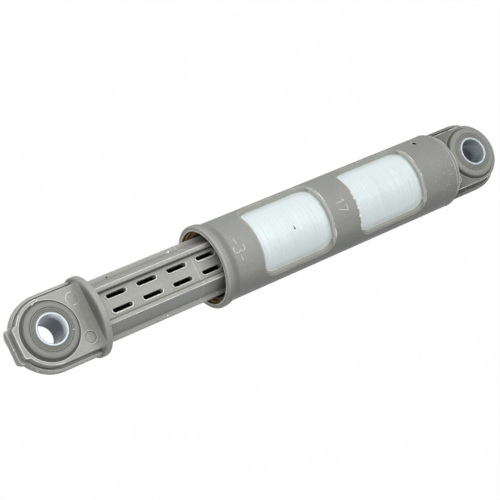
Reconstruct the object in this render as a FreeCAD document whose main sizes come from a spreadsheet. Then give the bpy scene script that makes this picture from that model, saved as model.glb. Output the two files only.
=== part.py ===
"""Friction damper of a front-loading washing machine.

Frame: the origin is the centre of the housing eye's bore. +X runs along the damper from the housing
eye towards the plunger eye, and +Z runs along the bores of both eyes. All sizes are in millimetres.
The plunger stands where the photograph shows it, partly drawn out of the housing.
"""
import FreeCAD, Part
import math
import os

import Sketcher

# Points closer than this to a surface or an angle count as on it, in millimetres and in radians
TOUCH = 0.01
TOUCH_ANGLE = 0.001

# A window's corner fillet rolls on the curved tube, so its radius is at most this many walls
CORNER_TO_WALL = 3

doc = FreeCAD.newDocument("WashingMachineDamper")
sheet = doc.addObject("Spreadsheet::Sheet", "Sizes")


class Size:
    """A length, angle or count: its present value, and the same thing as a formula on the sheet."""

    def __init__(self, value, text):
        self.value = float(value)
        self.text = text

    def __add__(self, other):
        return Size(self.value + number(other), f"({self.text} + {formula(other)})")

    def __sub__(self, other):
        return Size(self.value - number(other), f"({self.text} - {formula(other)})")

    def __mul__(self, other):
        return Size(self.value * number(other), f"({self.text} * {formula(other)})")

    __rmul__ = __mul__

    def __truediv__(self, other):
        return Size(self.value / number(other), f"({self.text} / {formula(other)})")

    def __neg__(self):
        return Size(-self.value, f"(0 - {self.text})")


def number(size):
    return size.value if isinstance(size, Size) else float(size)


def formula(size):
    return size.text if isinstance(size, Size) else repr(size)


def smaller(first, second):
    return Size(min(first.value, second.value), f"min({first.text}; {second.text})")


def define(row, alias, value, note):
    """One driving size: a cell with a plain number, its alias and what it means."""
    sheet.set(f"A{row}", note)
    sheet.set(f"B{row}", str(value))
    sheet.setAlias(f"B{row}", alias)
    return Size(value, f"Sizes.{alias}")


DRIVING = [
    # Eyes, alike on the housing and on the plunger
    ("pin_hole_radius", 5.0, "Steel liner: radius of the hole for the fixing pin"),
    ("liner_wall", 0.9, "Steel liner: wall"),
    ("liner_length", 15.2, "Steel liner: length along the pin"),
    ("liner_chamfer", 0.25, "Steel liner: chamfer of its edges"),
    ("waist_radius", 8.6, "Bush: radius of the waist that sits in the eye"),
    ("bush_fit", 0.05, "Bush: clearance of the waist in the eye and under the flanges"),
    ("bush_well_gap", 0.3, "Bush: gap between its flanges and the wells' walls"),
    ("bush_shoulder_height", 4.6, "Bush: foot of the flange's cone, above mid-plane"),
    ("bush_shoulder_width", 1.15, "Bush: width of the flange's cone"),
    ("bush_edge_height", 6.2, "Bush: top of the flange's cone, above mid-plane"),
    ("bush_face_height", 7.0, "Bush: height of the ringed face, above mid-plane"),
    ("bush_lip", 0.2, "Bush: width of the lip between the liner and the first groove"),
    ("bush_ring_pitch", 0.7, "Bush: distance from one ring to the next"),
    ("bush_ring_count", 3, "Bush: rings on each face, with a groove inside each"),
    ("bush_groove_width", 0.35, "Bush: width of the grooves between the rings"),
    ("bush_groove_depth", 0.35, "Bush: depth of the grooves between the rings"),
    ("bush_rounding", 0.4, "Bush: rounding of the flanges' edges"),
    ("well_radius", 10.8, "Eye: radius of the well round the bush flange"),
    ("web_half", 2.6, "Eye: half thickness of the wall that carries the bush"),
    ("plate_half", 5.0, "Eye: half thickness of the lug between its faces"),
    ("plate_radius", 12.0, "Eye: radius and half width of the face plates"),
    ("rim_radius", 13.9, "Eye: radius and half width of the middle rim"),
    ("rim_offset", 0.9, "Eye: how far the centre of the rim's arc lies inside the pin centre"),
    ("rim_half", 1.5, "Eye: half thickness of the rim"),
    ("rim_lip", 0.95, "Eye: width of the lip along the rim's edge"),
    ("rim_web_half", 0.7, "Eye: half thickness of the rim at the bottom of its groove"),
    ("rim_rounding", 0.45, "Eye: rounding of the rim's outer edges"),
    ("plate_rounding", 0.35, "Eye: rounding of the face plates' edges"),
    ("mark_radius", 2.3, "Eye: radius of the ejector marks"),
    ("mark_depth", 0.15, "Eye: depth of the ejector marks"),
    ("mark_reach", 12.2, "Eye: ejector marks, distance along the lug"),
    ("mark_side", 7.25, "Eye: ejector marks, distance from the centre line"),
    ("plate_pad_reach", 12.1, "Plunger eye: flat at the face plates' tip, from the pin centre"),
    ("plate_pad_side", 5.7, "Plunger eye: half width of the face plates' flat"),
    ("plate_pad_corner", 1.1, "Plunger eye: corner radius of the face plates' flat"),
    ("rim_pad_reach", 13.25, "Plunger eye: flat at the rim's tip, from the pin centre"),
    ("rim_pad_side", 6.6, "Plunger eye: half width of the rim's flat"),
    ("rim_pad_corner", 1.6, "Plunger eye: corner radius of the rim's flat"),
    # Housing
    ("housing_root", 15.3, "Housing: pin centre to the end face of the tube"),
    ("housing_reach", 129.4, "Housing: pin centre to the plane of the mouth"),
    ("tube_radius", 14.9, "Housing: outer radius of the tube"),
    ("end_bevel_length", 2.2, "Housing: bevel at the closed end, along the tube"),
    ("end_bevel_drop", 1.1, "Housing: bevel at the closed end, in radius"),
    ("housing_cove", 0.4, "Housing: cove between the lug's faces and the closed end"),
    ("mouth_radius", 15.8, "Housing: outer radius of the flared mouth"),
    ("mouth_land", 1.6, "Housing: length of the mouth at full radius"),
    ("flare_length", 3.9, "Housing: length of the flare behind the mouth"),
    ("mouth_rounding", 0.75, "Housing: outer rounding of the mouth"),
    ("mouth_inner_rounding", 0.35, "Housing: inner rounding of the mouth"),
    ("mouth_bore", 14.0, "Housing: radius of the recess in the mouth"),
    ("mouth_depth", 2.2, "Housing: depth of the recess in the mouth"),
    ("end_wall", 5.2, "Housing: thickness of the closed end"),
    ("chamber_length", 7.6, "Housing: air space between the closed end and the sleeve"),
    ("vent_radius", 0.75, "Housing: radius of the air vent"),
    ("vent_back", 1.9, "Housing: the vent's distance behind the end of the sleeve"),
    ("vent_side", 11.4, "Housing: the vent's distance from the centre line"),
    ("window_start", 34.8, "Housing: pin centre to the first window"),
    ("window_band", 13.5, "Housing: band left between two windows"),
    ("window_mouth_gap", 17.5, "Housing: last window to the plane of the mouth"),
    ("window_count", 2, "Housing: windows in a row"),
    ("window_angle", 124.5, "Housing: angle that a window takes round the tube"),
    ("window_corner", 5.2, "Housing: corner radius of the windows"),
    ("window_slope", 0.55, "Housing: how far the windows' outer edge slopes back"),
    ("window_rounding", 0.25, "Housing: rounding between that slope and the tube"),
    # Sleeve
    ("sleeve_radius", 12.9, "Sleeve: outer radius"),
    ("sleeve_wall", 0.8, "Sleeve: wall"),
    ("sleeve_seat", 0.02, "Sleeve: clearance in the housing moulded round it"),
    ("sleeve_chamfer", 0.25, "Sleeve: chamfer of its inner edges"),
    # Plunger
    ("plunger_root", 15.1, "Plunger: pin centre to the near face of the flange"),
    ("flange_thick", 2.5, "Plunger: thickness of the flange"),
    ("flange_radius", 14.8, "Plunger: radius of the flange"),
    ("flange_cove", 0.8, "Plunger: cove between the lug's faces and the flange"),
    ("flange_rounding", 0.7, "Plunger: rounding of the flange's edges"),
    ("shaft_drawn", 47.7, "Plunger: length of shaft that shows outside the mouth"),
    ("shaft_length", 107.0, "Plunger: length beyond the flange"),
    ("panel_height", 7.2, "Plunger shaft: height of the slotted panels above mid-plane"),
    ("panel_half", 4.7, "Plunger shaft: half width of the slotted panels"),
    ("rib_inner", 5.25, "Plunger shaft: inner side of the ribs, from the centre line"),
    ("rib_outer", 6.7, "Plunger shaft: outer side of the ribs, from the centre line"),
    ("rib_height", 9.35, "Plunger shaft: height of the ribs above mid-plane"),
    ("rib_rounding", 0.6, "Plunger shaft: rounding of the ribs"),
    ("fin_root", 9.7, "Plunger shaft: where the side fins start, from the centre line"),
    ("fin_tip", 11.35, "Plunger shaft: where the side fins end, from the centre line"),
    ("fin_half", 1.25, "Plunger shaft: half thickness of the side fins"),
    ("fin_rounding", 0.5, "Plunger shaft: rounding of the fins"),
    ("core_radius", 5.4, "Plunger shaft: radius of the hollow core"),
    ("core_end", 3.4, "Plunger shaft: solid length between the flange and the core"),
    ("slot_length", 8.1, "Plunger shaft: length of a slot"),
    ("slot_width", 1.95, "Plunger shaft: width of a slot"),
    ("slot_pitch", 12.53, "Plunger shaft: distance from one slot to the next"),
    ("slot_start", 5.0, "Plunger shaft: flange to the first slots"),
    ("slot_row", 2.7, "Plunger shaft: middle of a row of slots, from the centre line"),
    ("slot_count", 5, "Plunger shaft: slots in a row"),
    ("slot_rounding", 0.25, "Plunger shaft: rounding of the slots' edges"),
    ("land_clearance", 0.3, "Plunger head: radial clearance of its lands in the sleeve"),
    ("land_length", 3.0, "Plunger head: length of each land"),
    ("land_chamfer", 0.8, "Plunger head: chamfer of the lands"),
    ("head_blend", 2.0, "Plunger head: cone between the shaft and the first land"),
    # Friction lining
    ("lining_length", 28.0, "Lining: length along the damper"),
    ("lining_thick", 2.6, "Lining: thickness when fitted"),
    ("lining_fit", 0.12, "Lining: clearance in its groove and in the sleeve"),
    ("lining_split", 5.0, "Lining: angle of the butt gap where the strip's ends meet"),
    ("lining_chamfer", 0.4, "Lining: chamfer of its outer edges"),
]

sizes = {}
for place, (alias, value, note) in enumerate(DRIVING, start=1):
    sizes[alias] = define(place, alias, value, note)
doc.recompute()


def size(alias):
    return sizes[alias]


# Sizes that follow from the driving ones
liner_radius = size("pin_hole_radius") + size("liner_wall")
pin_distance = size("housing_reach") + size("shaft_drawn") + size("flange_thick") + size("plunger_root")
chamber_floor = size("housing_root") + size("end_wall")
sleeve_start = chamber_floor + size("chamber_length")
sleeve_end = size("housing_reach") - size("mouth_depth")
window_bands = size("window_band") * (size("window_count") - 1)
window_row = size("housing_reach") - size("window_start") - size("window_mouth_gap")
window_length = (window_row - window_bands) / size("window_count")
window_pitch = window_length + size("window_band")
sleeve_bore = size("sleeve_radius") - size("sleeve_wall")
seat_radius = size("sleeve_radius") + size("sleeve_seat")
land_radius = sleeve_bore - size("land_clearance")
lining_outer = sleeve_bore - size("lining_fit")
lining_inner = lining_outer - size("lining_thick")
groove_floor = lining_inner - size("lining_fit")
groove_length = size("lining_length") + size("lining_fit") * 2
flange_far = size("plunger_root") + size("flange_thick")
head_end = flange_far + size("shaft_length")
groove_end = head_end - size("land_length")
groove_start = groove_end - groove_length
head_start = groove_start - size("land_length")
lining_start = groove_start + size("lining_fit")


def bind(thing, prop, amount):
    """Ties a property to the sheet."""
    thing.setExpression(prop, amount.text)


def make_body(label):
    body = doc.addObject("PartDesign::Body", label)
    body.Label = label
    return body


def origin_plane(body, role):
    return next(item for item in body.Origin.OriginFeatures if item.Role == role)


def make_sketch(body, name, role, offset=None):
    """An empty sketch on one of the body's origin planes, lifted off it by offset."""
    sketch = body.newObject("Sketcher::SketchObject", name)
    sketch.AttachmentSupport = (origin_plane(body, role), "")
    sketch.MapMode = "FlatFace"
    if offset is not None:
        bind(sketch, "AttachmentOffset.Base.z", offset)
    return sketch


def fix_coordinate(sketch, kind, geometry, point, amount):
    """Places one point of the sketch, on an axis or at a sized distance from it."""
    if number(amount) == 0.0:
        axis = -2 if kind == "DistanceX" else -1
        sketch.addConstraint(Sketcher.Constraint("PointOnObject", geometry, point, axis))
        return
    index = sketch.addConstraint(Sketcher.Constraint(kind, -1, 1, geometry, point, number(amount)))
    if isinstance(amount, Size):
        sketch.setExpression(f"Constraints[{index}]", amount.text)


def draw_outline(sketch, corners):
    """A closed outline of lines and arcs, each corner placed by two sizes.

    A corner is (x, y) where a line leaves it, and (x, y, centre_x, centre_y) where an arc does.
    """
    first = sketch.GeometryCount
    count = len(corners)
    spots = [FreeCAD.Vector(number(corner[0]), number(corner[1]), 0) for corner in corners]
    ends = []
    for i, corner in enumerate(corners):
        start, end = spots[i], spots[(i + 1) % count]
        if len(corner) == 2:
            sketch.addGeometry(Part.LineSegment(start, end))
            ends.append((1, 2))
            continue
        centre = FreeCAD.Vector(number(corner[2]), number(corner[3]), 0)
        to_start, to_end = start - centre, end - centre
        angles = [math.atan2(to_start.y, to_start.x), math.atan2(to_end.y, to_end.x)]
        forward = to_start.x * to_end.y - to_start.y * to_end.x > 0
        circle = Part.Circle(centre, FreeCAD.Vector(0, 0, 1), to_start.Length)
        low, high = angles if forward else reversed(angles)
        sketch.addGeometry(Part.ArcOfCircle(circle, low, high))
        ends.append((1, 2) if forward else (2, 1))
    for i in range(count):
        following = (i + 1) % count
        sketch.addConstraint(Sketcher.Constraint("Coincident", first + i, ends[i][1],
                                                 first + following, ends[following][0]))
    for i, corner in enumerate(corners):
        fix_coordinate(sketch, "DistanceX", first + i, ends[i][0], corner[0])
        fix_coordinate(sketch, "DistanceY", first + i, ends[i][0], corner[1])
        if len(corner) == 4:
            fix_coordinate(sketch, "DistanceX", first + i, 3, corner[2])


def rounded_step(corner, before, after, radius):
    """Two corners that round off a right-angled one, with an arc between them.

    before and after are the unit steps, along X or Y, from the corner back to the outline's
    last point and on to its next one.
    """
    x, y = corner
    centre_x = x + radius * (before[0] + after[0])
    centre_y = y + radius * (before[1] + after[1])
    start = (x + radius * before[0], y + radius * before[1], centre_x, centre_y)
    end = (x + radius * after[0], y + radius * after[1])
    return [start, end]


def draw_arc(sketch, centre, radius, start, end):
    spot = FreeCAD.Vector(number(centre[0]), number(centre[1]), 0)
    circle = Part.Circle(spot, FreeCAD.Vector(0, 0, 1), number(radius))
    arc = sketch.addGeometry(Part.ArcOfCircle(circle, math.radians(start), math.radians(end)))
    fix_coordinate(sketch, "DistanceX", arc, 3, centre[0])
    fix_coordinate(sketch, "DistanceY", arc, 3, centre[1])
    index = sketch.addConstraint(Sketcher.Constraint("Radius", arc, number(radius)))
    sketch.setExpression(f"Constraints[{index}]", radius.text)
    return arc


def draw_line(sketch, start, end, direction=None):
    spots = [FreeCAD.Vector(number(x), number(y), 0) for x, y in (start, end)]
    line = sketch.addGeometry(Part.LineSegment(spots[0], spots[1]))
    if direction is not None:
        sketch.addConstraint(Sketcher.Constraint(direction, line))
    return line


def join(sketch, pairs):
    for first, first_point, second, second_point in pairs:
        sketch.addConstraint(Sketcher.Constraint("Coincident", first, first_point, second, second_point))


def draw_tongue(sketch, centre_x, radius, end_x):
    """A tongue outline: a half circle round centre_x, and straight sides out to end_x."""
    arc = draw_arc(sketch, (centre_x, 0), radius, 90, 270)
    lower = draw_line(sketch, (centre_x, -radius), (end_x, -radius), "Horizontal")
    end = draw_line(sketch, (end_x, -radius), (end_x, radius), "Vertical")
    upper = draw_line(sketch, (end_x, radius), (centre_x, radius), "Horizontal")
    join(sketch, [(arc, 2, lower, 1), (lower, 2, end, 1), (end, 2, upper, 1), (upper, 2, arc, 1)])
    fix_coordinate(sketch, "DistanceX", end, 1, end_x)
    sketch.addConstraint(Sketcher.Constraint("Vertical", arc, 1, arc, 3))
    sketch.addConstraint(Sketcher.Constraint("Vertical", arc, 2, arc, 3))


def draw_slot(sketch, start_x, middle_y, length, width):
    """A slot along X with round ends."""
    radius = width / 2
    left = start_x + radius
    right = start_x + length - radius
    first = draw_arc(sketch, (left, middle_y), radius, 90, 270)
    second = draw_arc(sketch, (right, middle_y), radius, 270, 90)
    lower = draw_line(sketch, (left, middle_y - radius), (right, middle_y - radius))
    upper = draw_line(sketch, (right, middle_y + radius), (left, middle_y + radius))
    join(sketch, [(first, 2, lower, 1), (lower, 2, second, 1), (second, 2, upper, 1), (upper, 2, first, 1)])
    for arc in (first, second):
        sketch.addConstraint(Sketcher.Constraint("Vertical", arc, 1, arc, 3))
        sketch.addConstraint(Sketcher.Constraint("Vertical", arc, 2, arc, 3))


def draw_circle(sketch, centre, radius):
    spot = FreeCAD.Vector(number(centre[0]), number(centre[1]), 0)
    circle = sketch.addGeometry(Part.Circle(spot, FreeCAD.Vector(0, 0, 1), number(radius)))
    fix_coordinate(sketch, "DistanceX", circle, 3, centre[0])
    fix_coordinate(sketch, "DistanceY", circle, 3, centre[1])
    index = sketch.addConstraint(Sketcher.Constraint("Radius", circle, number(radius)))
    sketch.setExpression(f"Constraints[{index}]", radius.text)


def pad_both_ways(body, name, sketch, half):
    """A pad that reaches half to each side of its sketch."""
    pad = body.newObject("PartDesign::Pad", name)
    pad.Profile = sketch
    pad.SideType = "Symmetric"
    bind(pad, "Length", half * 2)
    return pad


def pad_forward(body, name, sketch, length):
    pad = body.newObject("PartDesign::Pad", name)
    pad.Profile = sketch
    bind(pad, "Length", length)
    return pad


def turn(body, kind, name, sketch, axis="H_Axis", angle=None):
    """A revolution or groove about one of the sketch's own axes."""
    feature = body.newObject(kind, name)
    feature.Profile = sketch
    feature.ReferenceAxis = (sketch, [axis])
    if angle is not None:
        feature.Midplane = True
        bind(feature, "Angle", angle)
    return feature


def cut_through(body, name, sketch):
    pocket = body.newObject("PartDesign::Pocket", name)
    pocket.Profile = sketch
    pocket.SideType = "Symmetric"
    pocket.Type = "ThroughAll"
    return pocket


def near(first, second):
    return abs(first - number(second)) < TOUCH


def pick_edges(feature, test):
    """Names of the feature's edges whose points all pass the test."""
    names = []
    for i, edge in enumerate(feature.Shape.Edges, start=1):
        first, last = edge.ParameterRange
        points = [edge.valueAt(first + (last - first) * share) for share in (0.0, 0.3, 0.5, 0.8, 1.0)]
        if all(test(point) for point in points):
            names.append(f"Edge{i}")
    return names


def soften(body, kind, name, amount, test):
    """A fillet or chamfer on the edges of the body's last feature that pass the test."""
    doc.recompute()
    base = body.Tip
    names = pick_edges(base, test)
    if not names:
        raise RuntimeError(f"{name} found no edges")
    feature = body.newObject(kind, name)
    feature.Base = (base, names)
    bind(feature, "Radius" if kind.endswith("Fillet") else "Size", amount)
    body.Tip = feature
    doc.recompute()
    return feature


def add_flat(body, part):
    """The flat with rounded corners at the tip of the plunger eye's rim or of its face plates."""
    reach = size(f"{part}_pad_reach")
    side = size(f"{part}_pad_side")
    corner = size(f"{part}_pad_corner")
    outline = make_sketch(body, f"{part.title()}FlatOutline", "XY_Plane")
    draw_outline(outline, [
        (0, side),
        *rounded_step((-reach, side), (1, 0), (0, -1), corner),
        *rounded_step((-reach, -side), (0, 1), (1, 0), corner),
        (0, -side),
    ])
    pad_both_ways(body, f"{part.title()}Flat", outline, size(f"{part}_half"))


def add_lug(body, root, flat_tip=False):
    """The eye of the housing or the plunger, with its pin at the origin and its body beyond root."""
    web = make_sketch(body, "RimWebOutline", "XY_Plane")
    draw_tongue(web, size("rim_offset"), size("rim_radius"), root + size("rim_lip"))
    pad_both_ways(body, "RimWeb", web, size("rim_web_half"))

    lip = make_sketch(body, "RimLipOutline", "XY_Plane")
    draw_tongue(lip, size("rim_offset"), size("rim_radius"), root + size("rim_lip"))
    draw_tongue(lip, size("rim_offset"), size("rim_radius") - size("rim_lip"), root + size("rim_lip") / 2)
    pad_both_ways(body, "RimLip", lip, size("rim_half"))

    plate = make_sketch(body, "PlateOutline", "XY_Plane")
    draw_tongue(plate, 0, size("plate_radius"), root + size("rim_lip"))
    pad_both_ways(body, "Plates", plate, size("plate_half"))

    def on_rim_edge(point):
        outside = math.hypot(point.x - size("rim_offset").value, point.y)
        on_side = near(abs(point.y), size("rim_radius")) and point.x > size("rim_offset").value
        on_arc = near(outside, size("rim_radius")) and point.x < size("rim_offset").value + TOUCH
        return near(abs(point.z), size("rim_half")) and (on_side or on_arc)

    soften(body, "PartDesign::Fillet", "RimRounding", size("rim_rounding"), on_rim_edge)

    def on_plate_edge(point):
        outside = math.hypot(point.x, point.y)
        on_side = near(abs(point.y), size("plate_radius")) and -TOUCH < point.x < root.value + TOUCH
        on_arc = near(outside, size("plate_radius")) and point.x < TOUCH
        return near(abs(point.z), size("plate_half")) and (on_side or on_arc)

    soften(body, "PartDesign::Fillet", "PlateRounding", size("plate_rounding"), on_plate_edge)
    if flat_tip:
        add_flat(body, "plate")
        add_flat(body, "rim")

    # The well and the bore for the bush, on both faces at once
    seat = make_sketch(body, "BushSeatOutline", "XZ_Plane")
    clear = size("plate_half") + size("rim_half")
    well = size("well_radius")
    waist = size("waist_radius") + size("bush_fit")
    web_half = size("web_half")
    draw_outline(seat, [(0, -clear), (well, -clear), (well, -web_half), (waist, -web_half),
                        (waist, web_half), (well, web_half), (well, clear), (0, clear)])
    turn(body, "PartDesign::Groove", "BushSeat", seat, "V_Axis")

    marks = make_sketch(body, "EjectorMarkOutline", "XY_Plane", size("plate_half") - size("mark_depth"))
    for side in (size("mark_side"), -size("mark_side")):
        draw_circle(marks, (size("mark_reach"), side), size("mark_radius"))
    dimple = body.newObject("PartDesign::Pocket", "EjectorMarks")
    dimple.Profile = marks
    dimple.Reversed = True
    bind(dimple, "Length", size("mark_depth") * 2)
    doc.recompute()


def cove_root(body, root, amount):
    """The cove between the face plates and the body's end."""
    def on_root(point):
        inside = abs(point.y) < size("plate_radius").value + TOUCH
        return near(point.x, root) and near(abs(point.z), size("plate_half")) and inside

    soften(body, "PartDesign::Fillet", "RootCove", amount, on_root)


def make_housing():
    """Tube, closed end, flared mouth, four windows and the fixed eye, moulded as one piece."""
    body = make_body("housing")
    root = size("housing_root")
    reach = size("housing_reach")
    tube = size("tube_radius")
    mouth = size("mouth_radius")
    flare_top = reach - size("mouth_land")
    flare_foot = flare_top - size("flare_length")
    add_lug(body, root)

    swell = mouth - tube
    blend = (size("flare_length") * size("flare_length") + swell * swell) / (swell * 4)
    half_way = (flare_foot + size("flare_length") / 2, tube + swell / 2)
    profile = make_sketch(body, "TubeProfile", "XZ_Plane")
    draw_outline(profile, [
        (root, 0),
        (root, tube - size("end_bevel_drop")),
        (root + size("end_bevel_length"), tube),
        (flare_foot, tube, flare_foot, tube + blend),
        (half_way[0], half_way[1], flare_top, mouth - blend),
        (flare_top, mouth),
        *rounded_step((reach, mouth), (-1, 0), (0, -1), size("mouth_rounding")),
        *rounded_step((reach, size("mouth_bore")), (0, 1), (-1, 0), size("mouth_inner_rounding")),
        (sleeve_end, size("mouth_bore")),
        (sleeve_end, seat_radius),
        (sleeve_start, seat_radius),
        (sleeve_start, sleeve_bore),
        (chamber_floor, sleeve_bore),
        (chamber_floor, 0),
    ])
    turn(body, "PartDesign::Revolution", "Tube", profile)
    cove_root(body, root, size("housing_cove"))
    cut_windows(body)

    vent = make_sketch(body, "VentOutline", "XY_Plane")
    draw_circle(vent, (sleeve_start - size("vent_back"), -size("vent_side")), size("vent_radius"))
    bore = body.newObject("PartDesign::Pocket", "Vent")
    bore.Profile = vent
    bore.Reversed = True
    bind(bore, "Length", tube)
    return body


def cut_windows(body):
    """A row of windows on the upper side and one below, cut by walls that point at the tube's axis."""
    start = size("window_start")
    end = start + window_length
    tube = size("tube_radius")
    outside = tube + size("mouth_rounding")
    inside = sleeve_bore + size("sleeve_wall") / 2
    outline = make_sketch(body, "WindowOutline", "XZ_Plane")
    draw_outline(outline, [(start, outside), (start, inside), (end, inside), (end, outside)])
    window = turn(body, "PartDesign::Groove", "Window", outline, "H_Axis", size("window_angle"))
    doc.recompute()

    along = body.newObject("PartDesign::LinearPattern", "WindowsAlong")
    across = body.newObject("PartDesign::Mirrored", "WindowsBelow")
    pattern = body.newObject("PartDesign::MultiTransform", "Windows")
    pattern.Originals = [window]
    along.Direction = (origin_plane(body, "X_Axis"), [""])
    bind(along, "Length", window_pitch * (size("window_count") - 1))
    bind(along, "Occurrences", size("window_count"))
    across.MirrorPlane = (origin_plane(body, "XY_Plane"), [""])
    pattern.Transformations = [along, across]
    body.Tip = pattern
    doc.recompute()

    half = math.radians(size("window_angle").value / 2)
    starts = [start.value + window_pitch.value * i for i in range(int(size("window_count").value))]
    ends = [x for spot in starts for x in (spot, spot + window_length.value)]

    def in_corner(point):
        angle = math.atan2(abs(point.y), abs(point.z))
        radius = math.hypot(point.y, point.z)
        at_end = any(near(point.x, x) for x in ends)
        return at_end and abs(angle - half) < TOUCH_ANGLE and radius > seat_radius.value - TOUCH

    corner = smaller(size("window_corner"), (tube - seat_radius) * CORNER_TO_WALL)
    soften(body, "PartDesign::Fillet", "WindowCorners", corner, in_corner)

    slope = size("window_slope")
    sloped_half = half + slope.value / tube.value

    def on_outer_edge(point, margin, widest):
        on_tube = near(math.hypot(point.y, point.z), tube)
        in_angle = math.atan2(abs(point.y), abs(point.z)) < widest + TOUCH_ANGLE
        return on_tube and in_angle and ends[0] - margin - TOUCH < point.x < ends[-1] + margin + TOUCH

    soften(body, "PartDesign::Chamfer", "WindowSlope", slope, lambda point: on_outer_edge(point, 0, half))
    soften(body, "PartDesign::Fillet", "WindowRounding", size("window_rounding"),
           lambda point: on_outer_edge(point, slope.value, sloped_half))


def make_sleeve():
    """The ground steel tube that the housing is moulded round and the lining rubs in."""
    body = make_body("sleeve")
    cut = size("sleeve_chamfer")
    bore = sleeve_bore
    outer = size("sleeve_radius")
    profile = make_sketch(body, "SleeveProfile", "XZ_Plane")
    draw_outline(profile, [(sleeve_start, bore + cut), (sleeve_start + cut, bore), (sleeve_end - cut, bore),
                           (sleeve_end, bore + cut), (sleeve_end, outer), (sleeve_start, outer)])
    turn(body, "PartDesign::Revolution", "Sleeve", profile)
    return body


def make_plunger():
    """Eye, flange, ribbed and slotted shaft and grooved head, moulded as one piece.

    It is drawn with its own eye at the origin and the shaft along +X, then turned round into place.
    """
    body = make_body("plunger")
    root = size("plunger_root")
    add_lug(body, root, flat_tip=True)

    rim = size("flange_radius")
    rounding = size("flange_rounding")
    disc = make_sketch(body, "FlangeProfile", "XZ_Plane")
    draw_outline(disc, [
        (root, 0),
        *rounded_step((root, rim), (0, -1), (1, 0), rounding),
        *rounded_step((flange_far, rim), (-1, 0), (0, -1), rounding),
        (flange_far, 0),
    ])
    turn(body, "PartDesign::Revolution", "Flange", disc)
    cove_root(body, root, size("flange_cove"))
    add_shaft(body)
    add_head(body)
    cut_core_and_slots(body)
    place = FreeCAD.Placement(FreeCAD.Vector(number(pin_distance), 0, 0), FreeCAD.Rotation(180, 0, 0))
    body.Placement = place
    bind(body, "Placement.Base.x", pin_distance)
    return body


def add_shaft(body):
    """The shaft's section: a panel between two ribs above and below, and a fin on each side."""
    quarter = [
        (size("panel_half"), size("panel_height")),
        (size("rib_inner"), size("rib_height")),
        (size("rib_outer"), size("rib_height")),
        (size("fin_root"), size("fin_half")),
        (size("fin_tip"), size("fin_half")),
    ]
    upper_left = [(-y, z) for y, z in reversed(quarter)]
    lower_left = [(-y, -z) for y, z in quarter]
    lower_right = [(y, -z) for y, z in reversed(quarter)]
    section = make_sketch(body, "ShaftSection", "YZ_Plane", flange_far)
    draw_outline(section, quarter + lower_right + lower_left + upper_left)
    pad_forward(body, "Shaft", section, head_start - flange_far)

    def lengthwise(points):
        def test(point):
            beyond = point.x > flange_far.value - TOUCH
            return beyond and any(near(abs(point.y), y) and near(abs(point.z), z) for y, z in points)
        return test

    soften(body, "PartDesign::Fillet", "RibRounding", size("rib_rounding"), lengthwise(quarter[1:3]))
    soften(body, "PartDesign::Fillet", "FinRounding", size("fin_rounding"), lengthwise(quarter[4:]))


def add_head(body):
    """Two lands that run in the sleeve, and the groove between them that holds the lining."""
    cut = size("land_chamfer")
    profile = make_sketch(body, "HeadProfile", "XZ_Plane")
    draw_outline(profile, [
        (head_start - size("head_blend"), 0),
        (head_start - size("head_blend"), size("panel_height")),
        (head_start, land_radius - cut),
        (head_start + cut, land_radius),
        (groove_start, land_radius),
        (groove_start, groove_floor),
        (groove_end, groove_floor),
        (groove_end, land_radius),
        (head_end - cut, land_radius),
        (head_end, land_radius - cut),
        (head_end, 0),
    ])
    turn(body, "PartDesign::Revolution", "Head", profile)
    doc.recompute()


def cut_core_and_slots(body):
    """The hollow core, open at the head, and the two rows of slots that break into it."""
    core = make_sketch(body, "CoreOutline", "YZ_Plane", flange_far + size("core_end"))
    draw_circle(core, (0, 0), size("core_radius"))
    bore = body.newObject("PartDesign::Pocket", "Core")
    bore.Profile = core
    bore.Reversed = True
    bind(bore, "Length", size("shaft_length"))
    doc.recompute()

    outline = make_sketch(body, "SlotOutline", "XY_Plane")
    for row in (size("slot_row"), -size("slot_row")):
        draw_slot(outline, flange_far + size("slot_start"), row, size("slot_length"), size("slot_width"))
    slots = cut_through(body, "FirstSlots", outline)
    doc.recompute()

    pattern = body.newObject("PartDesign::LinearPattern", "Slots")
    pattern.Originals = [slots]
    pattern.Direction = (origin_plane(body, "X_Axis"), [""])
    bind(pattern, "Length", size("slot_pitch") * (size("slot_count") - 1))
    bind(pattern, "Occurrences", size("slot_count"))
    body.Tip = pattern

    head_blend = head_start - size("head_blend")

    def on_slot_edge(point):
        on_panel = near(abs(point.z), size("panel_height")) and point.x < head_blend.value - TOUCH
        return on_panel and abs(point.y) < size("panel_half").value - TOUCH

    soften(body, "PartDesign::Fillet", "SlotRounding", size("slot_rounding"), on_slot_edge)


def make_lining():
    """The greased friction strip, wrapped round the plunger's head with a butt gap."""
    body = make_body("friction_lining")
    start = pin_distance - lining_start - size("lining_length")
    end = pin_distance - lining_start
    cut = size("lining_chamfer")
    profile = make_sketch(body, "LiningProfile", "XZ_Plane")
    draw_outline(profile, [(start, lining_inner), (end, lining_inner), (end, lining_outer - cut),
                           (end - cut, lining_outer), (start + cut, lining_outer),
                           (start, lining_outer - cut)])
    around = Size(360, "360") - size("lining_split")
    turn(body, "PartDesign::Revolution", "Lining", profile, "H_Axis", around)
    return body


def make_liner(label, centre_x):
    """The steel liner that the fixing pin passes through."""
    body = make_body(label)
    cut = size("liner_chamfer")
    half = size("liner_length") / 2
    bore = size("pin_hole_radius")
    profile = make_sketch(body, "LinerProfile", "XZ_Plane")
    draw_outline(profile, [(bore, -half + cut), (bore + cut, -half), (liner_radius - cut, -half),
                           (liner_radius, -half + cut), (liner_radius, half - cut), (liner_radius - cut, half),
                           (bore + cut, half), (bore, half - cut)])
    turn(body, "PartDesign::Revolution", "Liner", profile, "V_Axis")
    if centre_x is not None:
        bind(body, "Placement.Base.x", centre_x)
    return body


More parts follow.
